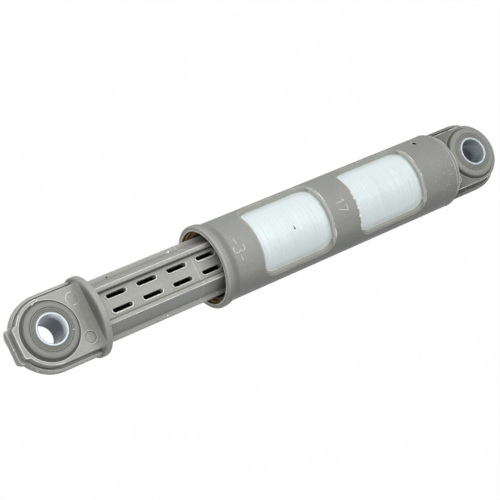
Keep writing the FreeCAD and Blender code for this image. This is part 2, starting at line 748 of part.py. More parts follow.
def make_bush(label, centre_x):
    """The rubber bush, snapped into the eye by its waist, with a ringed flange on each face."""
    body = make_body(label)
    under = size("web_half") + size("bush_fit")
    face = size("bush_face_height")
    flange = size("well_radius") - size("bush_well_gap")
    rings = size("bush_ring_count")
    outer_ring = liner_radius + size("bush_lip") + size("bush_ring_pitch") * rings
    upper = [
        (size("waist_radius"), under),
        (flange, under),
        (flange, size("bush_shoulder_height")),
        (flange - size("bush_shoulder_width"), size("bush_edge_height")),
        (outer_ring, face),
    ]
    edges = upper[2:]
    width = size("bush_groove_width")
    depth = size("bush_groove_depth")
    for i in reversed(range(int(rings.value))):
        groove = liner_radius + size("bush_lip") + size("bush_ring_pitch") * i
        upper += [(groove + width, face), (groove + width / 2, face - depth), (groove, face)]
    upper.append((liner_radius, face))
    lower = [(radius, -height) for radius, height in reversed(upper)]
    profile = make_sketch(body, "BushProfile", "XZ_Plane")
    draw_outline(profile, upper + lower)
    turn(body, "PartDesign::Revolution", "Bush", profile, "V_Axis")

    def on_flange(point):
        radius = math.hypot(point.x, point.y)
        return any(near(radius, r) and near(abs(point.z), z) for r, z in edges)

    soften(body, "PartDesign::Fillet", "BushRounding", size("bush_rounding"), on_flange)
    if centre_x is not None:
        bind(body, "Placement.Base.x", centre_x)
    return body


def check_all():
    """Stops if any object failed or any sub-part has no sound shape."""
    doc.recompute()
    for thing in doc.Objects:
        for word in ("Invalid", "Error"):
            if word in thing.State:
                raise RuntimeError(f"{thing.Label} is {word}")
    for body in doc.findObjects("PartDesign::Body"):
        if body.Shape.isNull() or not body.Shape.isValid() or not body.Shape.Solids:
            raise RuntimeError(f"{body.Label} has no valid shape")


subparts = [
    make_housing(),
    make_sleeve(),
    make_plunger(),
    make_lining(),
    make_bush("housing_bush", None),
    make_liner("housing_liner", None),
    make_bush("plunger_bush", pin_distance),
    make_liner("plunger_liner", pin_distance),
]
check_all()
os.makedirs("parts", exist_ok=True)
for body in subparts:
    body.Shape.exportStep(f"parts/{body.Label}.step")
    box = body.Shape.BoundBox
    print(f"{body.Label}: {len(body.Shape.Solids)} solid, {body.Shape.Volume / 1000:.2f} cm3,"
          f" x {box.XMin:.2f} to {box.XMax:.2f}, z {box.ZMin:.2f} to {box.ZMax:.2f}")
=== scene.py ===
import math

import bmesh
import bpy
from mathutils import Matrix, Vector


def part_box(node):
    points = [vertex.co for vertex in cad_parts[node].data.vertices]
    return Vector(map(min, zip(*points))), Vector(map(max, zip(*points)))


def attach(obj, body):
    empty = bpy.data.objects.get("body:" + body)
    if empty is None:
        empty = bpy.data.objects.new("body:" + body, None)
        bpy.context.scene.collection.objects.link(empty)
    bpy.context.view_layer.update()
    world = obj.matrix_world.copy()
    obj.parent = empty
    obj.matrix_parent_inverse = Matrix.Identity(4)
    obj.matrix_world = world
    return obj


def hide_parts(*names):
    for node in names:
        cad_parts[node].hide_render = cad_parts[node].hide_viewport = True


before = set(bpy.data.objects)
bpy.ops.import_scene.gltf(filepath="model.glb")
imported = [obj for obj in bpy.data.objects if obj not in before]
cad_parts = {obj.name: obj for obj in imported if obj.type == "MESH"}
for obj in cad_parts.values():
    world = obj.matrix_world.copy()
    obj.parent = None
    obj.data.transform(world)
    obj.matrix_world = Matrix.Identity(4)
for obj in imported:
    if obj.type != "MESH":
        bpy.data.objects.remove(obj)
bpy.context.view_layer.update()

MM = 0.001
TUBE_RADIUS = 14.9 * MM
FLOOR_HEIGHT = -16.35 * MM

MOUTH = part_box("housing")[1].x
SLEEVE_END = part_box("sleeve")[1].x
EYES = {"housing": 0.0, "plunger": (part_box("plunger_liner")[0].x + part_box("plunger_liner")[1].x) / 2}

# Sizes in millimetres that more than one table or function uses
PANEL_HEIGHT = 7.2
PLATE_HEIGHT = 5.0
PIN_MARK_OFFSET = (12.2, 7.25)
VENT = (26.2, -11.4, 0.0)
BUSH_REACH = {"housing": 10.35, "plunger": 10.0}
GROOVE_START, GROOVE_PITCH = 6.28, 0.7


def linear(red, green, blue):
    """A colour read off a screen, 0 to 255, as the linear colour that a shader takes."""
    parts = []
    for channel in (red, green, blue):
        share = channel / 255
        parts.append(share / 12.92 if share <= 0.04045 else ((share + 0.055) / 1.055) ** 2.4)
    return (*parts, 1.0)


# Node helpers

def add_node(tree, kind, inputs=None, **settings):
    """One node, its settings, and its inputs from sockets or plain values."""
    node = tree.nodes.new(kind)
    for name, value in settings.items():
        setattr(node, name, value)
    for name, value in (inputs or {}).items():
        if isinstance(value, bpy.types.NodeSocket):
            tree.links.new(value, node.inputs[name])
        else:
            node.inputs[name].default_value = value
    return node


def calculate(tree, operation, first, second=0.0):
    return add_node(tree, "ShaderNodeMath", {0: first, 1: second}, operation=operation).outputs[0]


def spread(tree, value, low, high, to_low=0.0, to_high=1.0):
    """A value between low and high, spread over to_low to to_high and held there beyond."""
    node = add_node(tree, "ShaderNodeMapRange", {"Value": value, "From Min": low, "From Max": high,
                                                 "To Min": to_low, "To Max": to_high})
    return node.outputs[0]


def product(tree, *factors):
    """All the factors multiplied together."""
    result = factors[0]
    for factor in factors[1:]:
        result = calculate(tree, "MULTIPLY", result, factor)
    return result


def blend_colour(tree, share, first, second, kind="MIX"):
    node = add_node(tree, "ShaderNodeMix", data_type="RGBA", blend_type=kind)
    for place, value in ((0, share), (6, first), (7, second)):
        if isinstance(value, bpy.types.NodeSocket):
            tree.links.new(value, node.inputs[place])
        else:
            node.inputs[place].default_value = value
    return node.outputs[2]


def darker(tree, colour, share, factor):
    """The colour times factor where share is 1."""
    return blend_colour(tree, share, colour, (factor, factor, factor, 1.0), "MULTIPLY")


def place_in_mm(tree):
    """The surface's own place, in millimetres."""
    place = add_node(tree, "ShaderNodeTexCoord").outputs["Object"]
    return add_node(tree, "ShaderNodeVectorMath", {0: place, "Scale": 1 / MM}, operation="SCALE").outputs[0]


def distance(tree, place, centre):
    return add_node(tree, "ShaderNodeVectorMath", {0: place, 1: centre}, operation="DISTANCE").outputs["Value"]


def length(tree, vector):
    return add_node(tree, "ShaderNodeVectorMath", {0: vector}, operation="LENGTH").outputs["Value"]


def new_group(name, kind, inputs, outputs):
    """An empty node group with named sockets, as (tree, its inputs, its output node)."""
    tree = bpy.data.node_groups.new(name, kind)
    for label, socket_kind, value in inputs:
        socket = tree.interface.new_socket(label, in_out="INPUT", socket_type=socket_kind)
        if value is not None:
            socket.default_value = value
    for label, socket_kind in outputs:
        tree.interface.new_socket(label, in_out="OUTPUT", socket_type=socket_kind)
    source = tree.nodes.new("NodeGroupInput")
    return tree, source.outputs, tree.nodes.new("NodeGroupOutput")


FLOAT, SHADER_TREE = "NodeSocketFloat", "ShaderNodeTree"


# Effects that several finishes share

def moulded_grain():
    """Fine grain of a moulded or ground skin, and the broad blotches under it."""
    tree, given, result = new_group("MouldedGrain", SHADER_TREE, [
        ("Grain per mm", FLOAT, 1.6), ("Blotch per mm", FLOAT, 0.14)],
        [("Grain", FLOAT), ("Blotch", FLOAT)])
    place = place_in_mm(tree)
    for label, detail in (("Grain", 3.0), ("Blotch", 2.0)):
        noise = add_node(tree, "ShaderNodeTexNoise",
                         {"Vector": place, "Scale": given[label + " per mm"], "Detail": detail})
        tree.links.new(spread(tree, noise.outputs[0], 0.3, 0.7), result.inputs[label])
    return tree


def drawn_out_noise(tree, along, across, detail):
    """Noise whose grain differs along the damper from across it."""
    scale = add_node(tree, "ShaderNodeCombineXYZ", {0: along, 1: across, 2: across}).outputs[0]
    place = add_node(tree, "ShaderNodeMapping", {"Vector": place_in_mm(tree), "Scale": scale}).outputs[0]
    return add_node(tree, "ShaderNodeTexNoise", {"Vector": place, "Scale": 1.0, "Detail": detail}).outputs[0]


def flow_streaks():
    """Faint lines that the flowing melt leaves along the part."""
    tree, given, result = new_group("FlowStreaks", SHADER_TREE, [
        ("Along", FLOAT, 0.05), ("Across", FLOAT, 0.9)], [("Streaks", FLOAT)])
    noise = drawn_out_noise(tree, given["Along"], given["Across"], 3.0)
    tree.links.new(spread(tree, noise, 0.35, 0.65), result.inputs["Streaks"])
    return tree


def turned_lines():
    """Fine rings that turning and grinding leave round the damper's axis."""
    tree, given, result = new_group("TurnedLines", SHADER_TREE, [
        ("Lines per mm", FLOAT, 2.4), ("Waver", FLOAT, 0.02)], [("Lines", FLOAT)])
    noise = drawn_out_noise(tree, given["Lines per mm"], given["Waver"], 2.0)
    tree.links.new(spread(tree, noise, 0.3, 0.7), result.inputs["Lines"])
    return tree


def edge_and_crevice():
    """Where the solid is thin just under the surface, and where its surroundings shade it."""
    tree, given, result = new_group("EdgeAndCrevice", SHADER_TREE, [
        ("Edge mm", FLOAT, 0.5), ("Crevice mm", FLOAT, 2.5)], [("Edge", FLOAT), ("Crevice", FLOAT)])
    for label, inside, none_from, full_at in (("Edge", True, 0.9, 0.4), ("Crevice", False, 0.98, 0.3)):
        reach = calculate(tree, "MULTIPLY", given[label + " mm"], MM)
        shade = add_node(tree, "ShaderNodeAmbientOcclusion", {"Distance": reach},
                         samples=8, inside=inside, only_local=inside)
        tree.links.new(spread(tree, shade.outputs["AO"], none_from, full_at), result.inputs[label])
    return tree


def specks():
    """Scattered specks: a small share of the cells holds one."""
    tree, given, result = new_group("Specks", SHADER_TREE, [
        ("Cells per mm", FLOAT, 0.6), ("Share", FLOAT, 0.05), ("Size", FLOAT, 0.15)], [("Specks", FLOAT)])
    cells = add_node(tree, "ShaderNodeTexVoronoi",
                     {"Vector": place_in_mm(tree), "Scale": given["Cells per mm"]})
    chance = add_node(tree, "ShaderNodeSeparateColor", {0: cells.outputs["Color"]}).outputs[0]
    chosen = calculate(tree, "LESS_THAN", chance, given["Share"])
    near = calculate(tree, "LESS_THAN", cells.outputs["Distance"], given["Size"])
    tree.links.new(calculate(tree, "MULTIPLY", chosen, near), result.inputs["Specks"])
    return tree


EFFECTS = {maker.__name__: maker()
           for maker in (moulded_grain, flow_streaks, edge_and_crevice, specks, turned_lines)}


def effect(tree, name, **values):
    """A shared effect in a material, with its own values."""
    node = add_node(tree, "ShaderNodeGroup")
    node.node_tree = EFFECTS[name]
    for label, value in values.items():
        node.inputs[label.replace("_", " ")].default_value = value
    return node.outputs


def new_material(name, roughness, **settings):
    """A material with its Principled shader, whose plain numbers are set on the shader itself."""
    material = bpy.data.materials.new(name)
    material.use_nodes = True
    shader = material.node_tree.nodes["Principled BSDF"]
    shader.inputs["Roughness"].default_value = roughness
    for label, value in settings.items():
        shader.inputs[label.replace("_", " ")].default_value = value
    return material, material.node_tree, shader


def bump(tree, shader, height, distance_mm, strength=1.0):
    node = add_node(tree, "ShaderNodeBump",
                    {"Height": height, "Distance": distance_mm * MM, "Strength": strength})
    tree.links.new(node.outputs[0], shader.inputs["Normal"])


# Zones of the two mouldings. A zone has what it does to the colour, a factor or a tint and its cover, and
# its borders: each a measure of the surface, where the zone begins and where it is full.

LUG = ("x", 15.1, 14.9)
TUBE_SKIN = ("radius", 14.2, 14.6)
FLANGE_FACE = (("x", 179.45, 179.55), ("x", 179.75, 179.65))
CORE = (("radius", 6.3, 5.5), ("x", 177.5, 177.0))
WINDOW_FAR_ENDS = (34.2, 79.5)

HOUSING_ZONES = [
    # Grease smeared in the mouth's recess
    ((linear(92, 62, 20), 0.92), ("smeared x", 129.3, 128.9), ("x", 126.6, 127.0), ("radius", 14.15, 14.08)),
    # Dust on the closed end
    ((linear(214, 212, 204), 0.3), ("dust", 0.0, 1.0), ("x", 33.0, 22.0), ("y", -7.0, 3.0)),
    # Painted shade in the hollow behind the mouth's flare
    (0.72, ("x", 123.6, 124.6), ("x", 127.6, 126.2), ("radius", 14.7, 14.85)),
    # Painted highlight on the mouth's lip
    ((linear(203, 203, 196), 0.5), ("x", 128.5, 129.1), ("radius", 14.1, 14.3)),
    # Painted shade on the eye's lug, darkest towards the tube
    (0.55, ("x", -14.0, 3.0, 0.3, 1.0), LUG),
    (0.6, ("x", 7.0, 14.0), LUG),
    # The tube, darker towards its closed end, and painted shade on its flanks
    (0.84, ("x", 125.0, 15.0), TUBE_SKIN),
    (0.72, ("y", 9.0, 14.6), TUBE_SKIN),
    (0.82, ("y", -12.0, -14.8), TUBE_SKIN),
]
for far_end in WINDOW_FAR_ENDS:
    # Painted light on the wall at a window's far end
    HOUSING_ZONES.append(((linear(214, 213, 206), 0.5), ("x", far_end - 0.1, far_end + 0.1),
                          ("x", far_end + 0.9, far_end + 0.75), ("radius", 14.86, 14.8)))
# Painted shade in the vent's hole
HOUSING_ZONES.append((0.08, ("from vent", 0.85, 0.78), ("radius", 14.75, 14.6)))

PLUNGER_ZONES = [
    # Painted shade in the hollow core, nearly black
    (0.04, *CORE),
    # Painted shade between the panels and the ribs
    (0.5, ("side", 4.55, 4.8), ("side", 5.3, 5.1), ("up", 6.9, 7.1), ("x", 177.2, 176.9)),
    # The flange's face, with painted shade above the plates and painted light beside them
    (0.66, *FLANGE_FACE, ("radius", 13.5, 12.6), ("up", 8.0, 9.0)),
    ((linear(222, 221, 213), 0.6), *FLANGE_FACE, ("up", 8.9, 8.2), ("side", 12.6, 11.6)),
    # The dark ring round an ejector pin's mark
    (0.62, ("from pin mark", 1.6, 1.95), ("from pin mark", 2.3, 2.1)),
]

# Small round marks, each a place, a radius and a colour
CHALK, SOOT = linear(240, 240, 234), linear(34, 32, 30)
PLUNGER_MARKS = [((165.8, -10.0, 1.25), 0.35, SOOT), ((139.8, -10.0, 1.25), 0.3, CHALK),
                 ((140.4, -10.0, 1.25), 0.2, CHALK), ((151.1, 10.7, 1.25), 0.25, CHALK),
                 ((129.4, 10.3, 1.25), 0.2, CHALK)]
SLEEVE_MARKS = [((95.1, 1.3, 12.83), 0.4, SOOT), ((95.3, 0.6, 12.87), 0.2, SOOT)]
BUSH_MARKS = [((187.46, 2.86, 6.6), 0.25, CHALK)]


def from_axis(tree):
    """The place along x, y and z and the distance from the damper's axis, by their names."""
    place = add_node(tree, "ShaderNodeSeparateXYZ", {0: place_in_mm(tree)}).outputs
    across = add_node(tree, "ShaderNodeCombineXYZ", {1: place[1], 2: place[2]}).outputs[0]
    return {"x": place[0], "y": place[1], "z": place[2], "radius": length(tree, across)}


def from_pin(tree, eye):
    """The height along an eye's pin and the distance from it."""
    centred = add_node(tree, "ShaderNodeMapping",
                       {"Vector": place_in_mm(tree), "Location": (-eye / MM, 0.0, 0.0)}).outputs[0]
    place = add_node(tree, "ShaderNodeSeparateXYZ", {0: centred}).outputs
    across = add_node(tree, "ShaderNodeCombineXYZ", {0: place[0], 1: place[1]}).outputs[0]
    return place[2], length(tree, across)


def smeared_x(tree, known):
    """The distance along the damper, made uneven as a wiped border is."""
    smear = add_node(tree, "ShaderNodeTexNoise", {"Vector": place_in_mm(tree), "Scale": 0.35, "Detail": 3.0})
    return calculate(tree, "ADD", known["x"], spread(tree, smear.outputs[0], 0.3, 0.7, -0.7, 0.7))


def from_vent(tree, known):
    across = add_node(tree, "ShaderNodeCombineXYZ", {0: known["x"], 1: known["y"]}).outputs[0]
    return distance(tree, across, VENT)


def from_pin_mark(tree, known):
    along, aside = PIN_MARK_OFFSET
    return distance(tree, place_in_mm(tree), (EYES["plunger"] / MM - along, aside, PLATE_HEIGHT))


# Measures beyond those of from_axis, made in a material when a zone's border asks for them
MEASURES = {
    "side": lambda tree, known: calculate(tree, "ABSOLUTE", known["y"]),
    "up": lambda tree, known: calculate(tree, "ABSOLUTE", known["z"]),
    "dust": lambda tree, known: effect(tree, "specks", Cells_per_mm=1.3, Share=0.3, Size=0.4)["Specks"],
    "smeared x": smeared_x,
    "from vent": from_vent,
    "from pin mark": from_pin_mark,
}


def zone_share(tree, known, borders):
    """1 inside all of a zone's borders, fading to 0 over each."""
    factors = []
    for name, *limits in borders:
        if name not in known:
            known[name] = MEASURES[name](tree, known)
        factors.append(spread(tree, known[name], *limits))
    return product(tree, *factors)


def marked(tree, colour, marks):
    """The colour with small round marks over it."""
    for centre, size, tint in marks:
        away = distance(tree, place_in_mm(tree), centre)
        colour = blend_colour(tree, spread(tree, away, size * 1.15, size * 0.85), colour, tint)
    return colour


def painted(tree, colour, known, zones):
    """The colour with its zones over it, one after another."""
    for change, *borders in zones:
        share = zone_share(tree, known, borders)
        if isinstance(change, float):
            colour = darker(tree, colour, share, change)
        else:
            tint, cover = change
            colour = blend_colour(tree, product(tree, share, cover), colour, tint)
    return colour


# Finishes

def shades(colour, low, high):
    """A darker and a lighter shade of one colour."""
    return [[channel * share for channel in colour] + [1.0] for share in (low, high)]


def moulded_plastic(name, base, pale_edge_highlight, crevice_mm, painted_crevice_shade, graining, zones, marks=(), dull=None):
    """Grey glass-filled plastic: fine grain, faint flow lines, edges made paler as painted highlight, and
    corners darkened as painted shade.
    """
    material, tree, shader = new_material(name, 0.5, Specular_IOR_Level=0.28)
    grain = effect(tree, "moulded_grain", Grain_per_mm=1.5, Blotch_per_mm=0.12)
    streaks = effect(tree, "flow_streaks")
    edges = effect(tree, "edge_and_crevice", Edge_mm=0.6, Crevice_mm=crevice_mm)
    motes = effect(tree, "specks", Cells_per_mm=0.45, Share=0.035, Size=0.1)
    colour = blend_colour(tree, grain["Blotch"], *shades(base, 0.96, 1.04))
    colour = darker(tree, colour, product(tree, streaks["Streaks"], 0.25), 0.9)
    colour = darker(tree, colour, product(tree, grain["Grain"], graining), 0.76)
    # Painted shade in corners and hollows, where the surroundings close in
    colour = darker(tree, colour, product(tree, edges["Crevice"], painted_crevice_shade), 0.45)
    # Painted highlight along convex edges, where the solid is thin under the surface
    colour = blend_colour(tree, product(tree, edges["Edge"], 0.9), colour, pale_edge_highlight)
    colour = blend_colour(tree, product(tree, motes["Specks"], 0.4), colour, linear(220, 218, 210))
    known = from_axis(tree)
    colour = marked(tree, painted(tree, colour, known, zones), marks)
    tree.links.new(colour, shader.inputs["Base Color"])
    roughness = spread(tree, grain["Blotch"], 0.0, 1.0, 0.42, 0.5)
    if dull:
        roughness = calculate(tree, "ADD", roughness, product(tree, zone_share(tree, known, dull), 0.5))
    tree.links.new(roughness, shader.inputs["Roughness"])
    bump(tree, shader, grain["Grain"], 0.04, 0.5)
    return material


def sleeve_metal():
    """Bright drawn steel with fine rings, and old grease on its bore and its end."""
    ring_pitch = 0.95
    material, tree, shader = new_material("SleeveSteel", 0.42)
    lines = effect(tree, "turned_lines", Lines_per_mm=1.7, Waver=0.04)["Lines"]
    dashes = effect(tree, "turned_lines", Lines_per_mm=1.9, Waver=0.7)["Lines"]
    grain = effect(tree, "moulded_grain", Grain_per_mm=1.5, Blotch_per_mm=0.15)
    known = from_axis(tree)
    colour = blend_colour(tree, lines, linear(190, 199, 200), linear(202, 211, 212))
    turns = calculate(tree, "ADD", calculate(tree, "MULTIPLY", known["x"], math.tau / ring_pitch),
                      calculate(tree, "MULTIPLY", dashes, 2.6))
    rings = spread(tree, calculate(tree, "COSINE", turns), 0.2, 1.0)
    colour = darker(tree, colour, product(tree, rings, spread(tree, dashes, 0.2, 0.8)), 0.86)
    # Painted light: the steel grows lighter towards its flanks on either side in y
    aside = calculate(tree, "ABSOLUTE", calculate(tree, "SUBTRACT", known["y"], 0.5))
    colour = blend_colour(tree, spread(tree, aside, 2.5, 11.0, 0.0, 0.75), colour, linear(236, 246, 246))
    colour = darker(tree, colour, product(tree, grain["Blotch"], 0.3), 0.96)
    colour = marked(tree, colour, SLEEVE_MARKS)
    on_bore, on_end = spread(tree, known["radius"], 12.75, 12.6), spread(tree, known["x"], 126.9, 127.05)
    greasy = calculate(tree, "MAXIMUM", on_bore, on_end)
    old_grease = blend_colour(tree, grain["Grain"], linear(54, 38, 12), linear(92, 66, 22))
    tree.links.new(blend_colour(tree, greasy, colour, old_grease), shader.inputs["Base Color"])
    tree.links.new(spread(tree, greasy, 0.0, 1.0, 0.3, 0.0), shader.inputs["Metallic"])
    tree.links.new(spread(tree, lines, 0.0, 1.0, 0.44, 0.54), shader.inputs["Roughness"])
    bump(tree, shader, lines, 0.012, 0.5)
    return material


def liner_metal(name, eye, painted_light_from, metal):
    """Plated steel liner: a bright rim, and a bore painted dark slate towards its middle and below, as painted
    shade, and lighter towards its upper end, as painted light.
    """
    material, tree, shader = new_material(name, 0.28)
    height, radius = from_pin(tree, eye)
    grain = effect(tree, "moulded_grain", Grain_per_mm=1.8, Blotch_per_mm=0.3)
    rim = blend_colour(tree, grain["Grain"], linear(172, 181, 186), linear(182, 191, 195))
    rim = blend_colour(tree, spread(tree, radius, 5.7, 5.9), rim, linear(160, 165, 167))
    slate = blend_colour(tree, grain["Blotch"], linear(10, 30, 46), linear(14, 35, 51))
    # Painted shade and light: dark slate low in the bore, lighter towards its upper end
    painted_bore_shading = blend_colour(tree, spread(tree, height, painted_light_from, 7.3), slate, linear(205, 216, 221))
    bore = spread(tree, radius, 5.1, 5.02)
    tree.links.new(blend_colour(tree, bore, rim, painted_bore_shading), shader.inputs["Base Color"])
    tree.links.new(spread(tree, bore, 0.0, 1.0, 0.45, metal), shader.inputs["Metallic"])
    roughness = calculate(tree, "ADD", spread(tree, grain["Grain"], 0.0, 1.0, 0.24, 0.3),
                          spread(tree, bore, 0.0, 1.0, 0.16, 0.0))
    tree.links.new(roughness, shader.inputs["Roughness"])
    bump(tree, shader, grain["Grain"], 0.01, 0.4)
    return material


def bush_rubber(name, eye, reach):
    """Grey elastomer, a little paler on its lips as painted highlight, with painted shade in each groove, in
    its crevices and round its flange's foot.
    """
    material, tree, shader = new_material(name, 0.58, Specular_IOR_Level=0.3)
    radius = from_pin(tree, eye)[1]
    ring = add_node(tree, "ShaderNodeTexNoise", {"W": radius, "Scale": 2.2, "Detail": 2.0},
                    noise_dimensions="1D")
    grain = effect(tree, "moulded_grain", Grain_per_mm=1.5)
    edges = effect(tree, "edge_and_crevice", Edge_mm=0.45, Crevice_mm=1.4)
    colour = blend_colour(tree, spread(tree, ring.outputs[0], 0.3, 0.7),
                          linear(133, 134, 129), linear(150, 151, 146))
    # Painted shade in the face's grooves, strongest towards the liner
    past_groove = calculate(tree, "SUBTRACT", radius, GROOVE_START)
    wave = calculate(tree, "COSINE", calculate(tree, "MULTIPLY", past_groove, math.tau / GROOVE_PITCH))
    painted_groove_shade = product(tree, spread(tree, wave, -0.4, 1.0), spread(tree, radius, 8.3, 7.2, 0.3, 1.0), 0.7)
    colour = darker(tree, colour, painted_groove_shade, 0.6)
    # Painted shade round the flange's foot, where it drops into the well
    colour = darker(tree, colour, spread(tree, radius, reach - 0.6, reach + 0.15), 0.55)
    colour = darker(tree, colour, product(tree, grain["Grain"], 0.6), 0.8)
    # Painted shade in crevices, then painted highlight on edges
    colour = darker(tree, colour, product(tree, edges["Crevice"], 0.6), 0.5)
    colour = blend_colour(tree, product(tree, edges["Edge"], 0.35), colour, linear(188, 188, 182))
    tree.links.new(marked(tree, colour, BUSH_MARKS), shader.inputs["Base Color"])
    tree.links.new(spread(tree, grain["Blotch"], 0.0, 1.0, 0.52, 0.66), shader.inputs["Roughness"])
    bump(tree, shader, grain["Grain"], 0.03, 0.5)
    return material


def lining_foam():
    """Open-celled foam, soaked brown with grease."""
    material, tree, shader = new_material("LiningFoam", 0.75)
    grain = effect(tree, "moulded_grain", Grain_per_mm=1.3, Blotch_per_mm=0.12)
    cells = effect(tree, "specks", Cells_per_mm=1.8, Share=0.8, Size=0.35)["Specks"]
    colour = blend_colour(tree, grain["Blotch"], linear(112, 92, 50), linear(150, 124, 66))
    colour = darker(tree, colour, product(tree, cells, 0.7), 0.45)
    tree.links.new(colour, shader.inputs["Base Color"])
    tree.links.new(spread(tree, grain["Grain"], 0.0, 1.0, 0.55, 0.85), shader.inputs["Roughness"])
    bump(tree, shader, calculate(tree, "SUBTRACT", grain["Grain"], cells), 0.25, 0.8)
    return material


def amber_grease():
    """Damping grease: clear amber on one side of the mouth, olive and thin on the other."""
    material, tree, shader = new_material("AmberGrease", 0.25, IOR=1.47)
    grain = effect(tree, "moulded_grain", Grain_per_mm=0.6, Blotch_per_mm=0.2)
    side = spread(tree, from_axis(tree)["y"], -5.0, 5.0)
    amber = blend_colour(tree, grain["Blotch"], linear(112, 72, 18), linear(186, 130, 42))
    olive = blend_colour(tree, grain["Blotch"], linear(84, 72, 28), linear(124, 104, 42))
    colour = darker(tree, blend_colour(tree, side, amber, olive), grain["Grain"], 0.7)
    tree.links.new(colour, shader.inputs["Base Color"])
    tree.links.new(spread(tree, grain["Grain"], 0.0, 1.0, 0.2, 0.36), shader.inputs["Roughness"])
    bump(tree, shader, grain["Grain"], 0.2, 0.6)
    return material


def pale_burr_and_highlight(name, low, high):
    """Whitish plastic: burrs torn, stretched or scuffed where the plastic gave, and painted highlight along
    edges.
    """
    material, tree, shader = new_material(name, 0.45)
    grain = effect(tree, "moulded_grain", Grain_per_mm=1.2)
    colour = blend_colour(tree, grain["Grain"], low, high)
    tree.links.new(colour, shader.inputs["Base Color"])
    bump(tree, shader, grain["Grain"], 0.03, 0.4)
    return material


HOUSING_PLASTIC = moulded_plastic(
    "HousingPlastic", base=(0.315, 0.320, 0.297), pale_edge_highlight=linear(218, 217, 209), crevice_mm=6.0, painted_crevice_shade=0.55,
    graining=0.45, zones=HOUSING_ZONES)
PLUNGER_PLASTIC = moulded_plastic(
    "PlungerPlastic", base=(0.379, 0.380, 0.352), pale_edge_highlight=linear(226, 224, 216), crevice_mm=5.0, painted_crevice_shade=0.6,
    graining=0.7, zones=PLUNGER_ZONES, marks=PLUNGER_MARKS, dull=CORE)
GREASE = amber_grease()
# Painted highlight along the edges of the slots, ribs and plates
EDGE_HIGHLIGHT = pale_burr_and_highlight("EdgeHighlight", linear(200, 200, 193), linear(230, 229, 222))
# Painted highlight on the raised strokes of a mould number
NUMBER_EDGE = pale_burr_and_highlight("NumberEdge", linear(174, 174, 167), linear(206, 205, 198))
# Whitened burrs and flash, also used as painted highlight on the mouth's lip and the windows' far-end edges
PALE_BURR_AND_HIGHLIGHT = pale_burr_and_highlight("PaleBurrAndHighlight", linear(204, 203, 196), linear(236, 235, 229))
FINISHES = {
    "housing": HOUSING_PLASTIC,
    "plunger": PLUNGER_PLASTIC,
    "sleeve": sleeve_metal(),
    "housing_liner": liner_metal("HousingLinerSteel", EYES["housing"], -1.5, 0.25),
    "plunger_liner": liner_metal("PlungerLinerSteel", EYES["plunger"], 3.4, 0.9),
    "housing_bush": bush_rubber("HousingBushRubber", EYES["housing"], BUSH_REACH["housing"]),
    "plunger_bush": bush_rubber("PlungerBushRubber", EYES["plunger"], BUSH_REACH["plunger"]),
    "friction_lining": lining_foam(),
}
for node_name, finish in FINISHES.items():
    for material_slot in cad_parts[node_name].material_slots:
        material_slot.material = finish


# Geometry Nodes trees

GEOMETRY, GEOMETRY_TREE = "NodeSocketGeometry", "GeometryNodeTree"


def bend_round(tree, geometry, radius):
    """Wraps a flat layout round the damper's axis: x stays, y runs round the tube, z stands out of it."""
    place = add_node(tree, "GeometryNodeInputPosition").outputs[0]
    flat = add_node(tree, "ShaderNodeSeparateXYZ", {0: place}).outputs
    angle = calculate(tree, "DIVIDE", flat[1], radius)
    reach = calculate(tree, "ADD", flat[2], radius)
    side = calculate(tree, "MULTIPLY", reach, calculate(tree, "SINE", angle))
    up = calculate(tree, "MULTIPLY", reach, calculate(tree, "COSINE", angle))
    bent = add_node(tree, "ShaderNodeCombineXYZ", {0: flat[0], 1: side, 2: up}).outputs[0]
    return add_node(tree, "GeometryNodeSetPosition", {"Geometry": geometry, "Position": bent}).outputs[0]


def end_tree(tree, geometry, result, finish):
    """Every tree ends in real geometry with its finish on it."""
    real = add_node(tree, "GeometryNodeRealizeInstances", {0: geometry}).outputs[0]
    coated = add_node(tree, "GeometryNodeSetMaterial", {"Geometry": real, "Material": finish}).outputs[0]
    tree.links.new(coated, result.inputs[0])


def bead_tree(name, finish, wrap=False):
    """A bead swept along the given edges, of uneven thickness, and wrapped round the tube if asked."""
    tree, given, result = new_group(name, GEOMETRY_TREE, [
        ("Edges", GEOMETRY, None), ("Bead Radius", FLOAT, 0.1 * MM), ("Spacing", FLOAT, 0.4 * MM),
        ("Unevenness", FLOAT, 0.0), ("Patch per m", FLOAT, 300.0), ("Tube Radius", FLOAT, TUBE_RADIUS)],
        [("Beads", GEOMETRY)])
    curve = add_node(tree, "GeometryNodeMeshToCurve", {0: given["Edges"]}).outputs[0]
    curve = add_node(tree, "GeometryNodeResampleCurve",
                     {"Curve": curve, "Length": given["Spacing"]}, mode="LENGTH").outputs[0]
    place = add_node(tree, "GeometryNodeInputPosition").outputs[0]
    noise = add_node(tree, "ShaderNodeTexNoise",
                     {"Vector": place, "Scale": given["Patch per m"], "Detail": 2.0}).outputs[0]
    swing = calculate(tree, "MULTIPLY", spread(tree, noise, 0.35, 0.65, -1.0, 1.0), given["Unevenness"])
    thickness = calculate(tree, "MAXIMUM", calculate(tree, "ADD", swing, 1.0), 0.05)
    curve = add_node(tree, "GeometryNodeSetCurveRadius", {"Curve": curve, "Radius": thickness}).outputs[0]
    ring = add_node(tree, "GeometryNodeCurvePrimitiveCircle",
                    {"Resolution": 8, "Radius": given["Bead Radius"]}).outputs[0]
    beads = add_node(tree, "GeometryNodeCurveToMesh",
                     {"Curve": curve, "Profile Curve": ring, "Scale": thickness, "Fill Caps": True}).outputs[0]
    if wrap:
        beads = bend_round(tree, beads, given["Tube Radius"])
    end_tree(tree, beads, result, finish)
    return tree


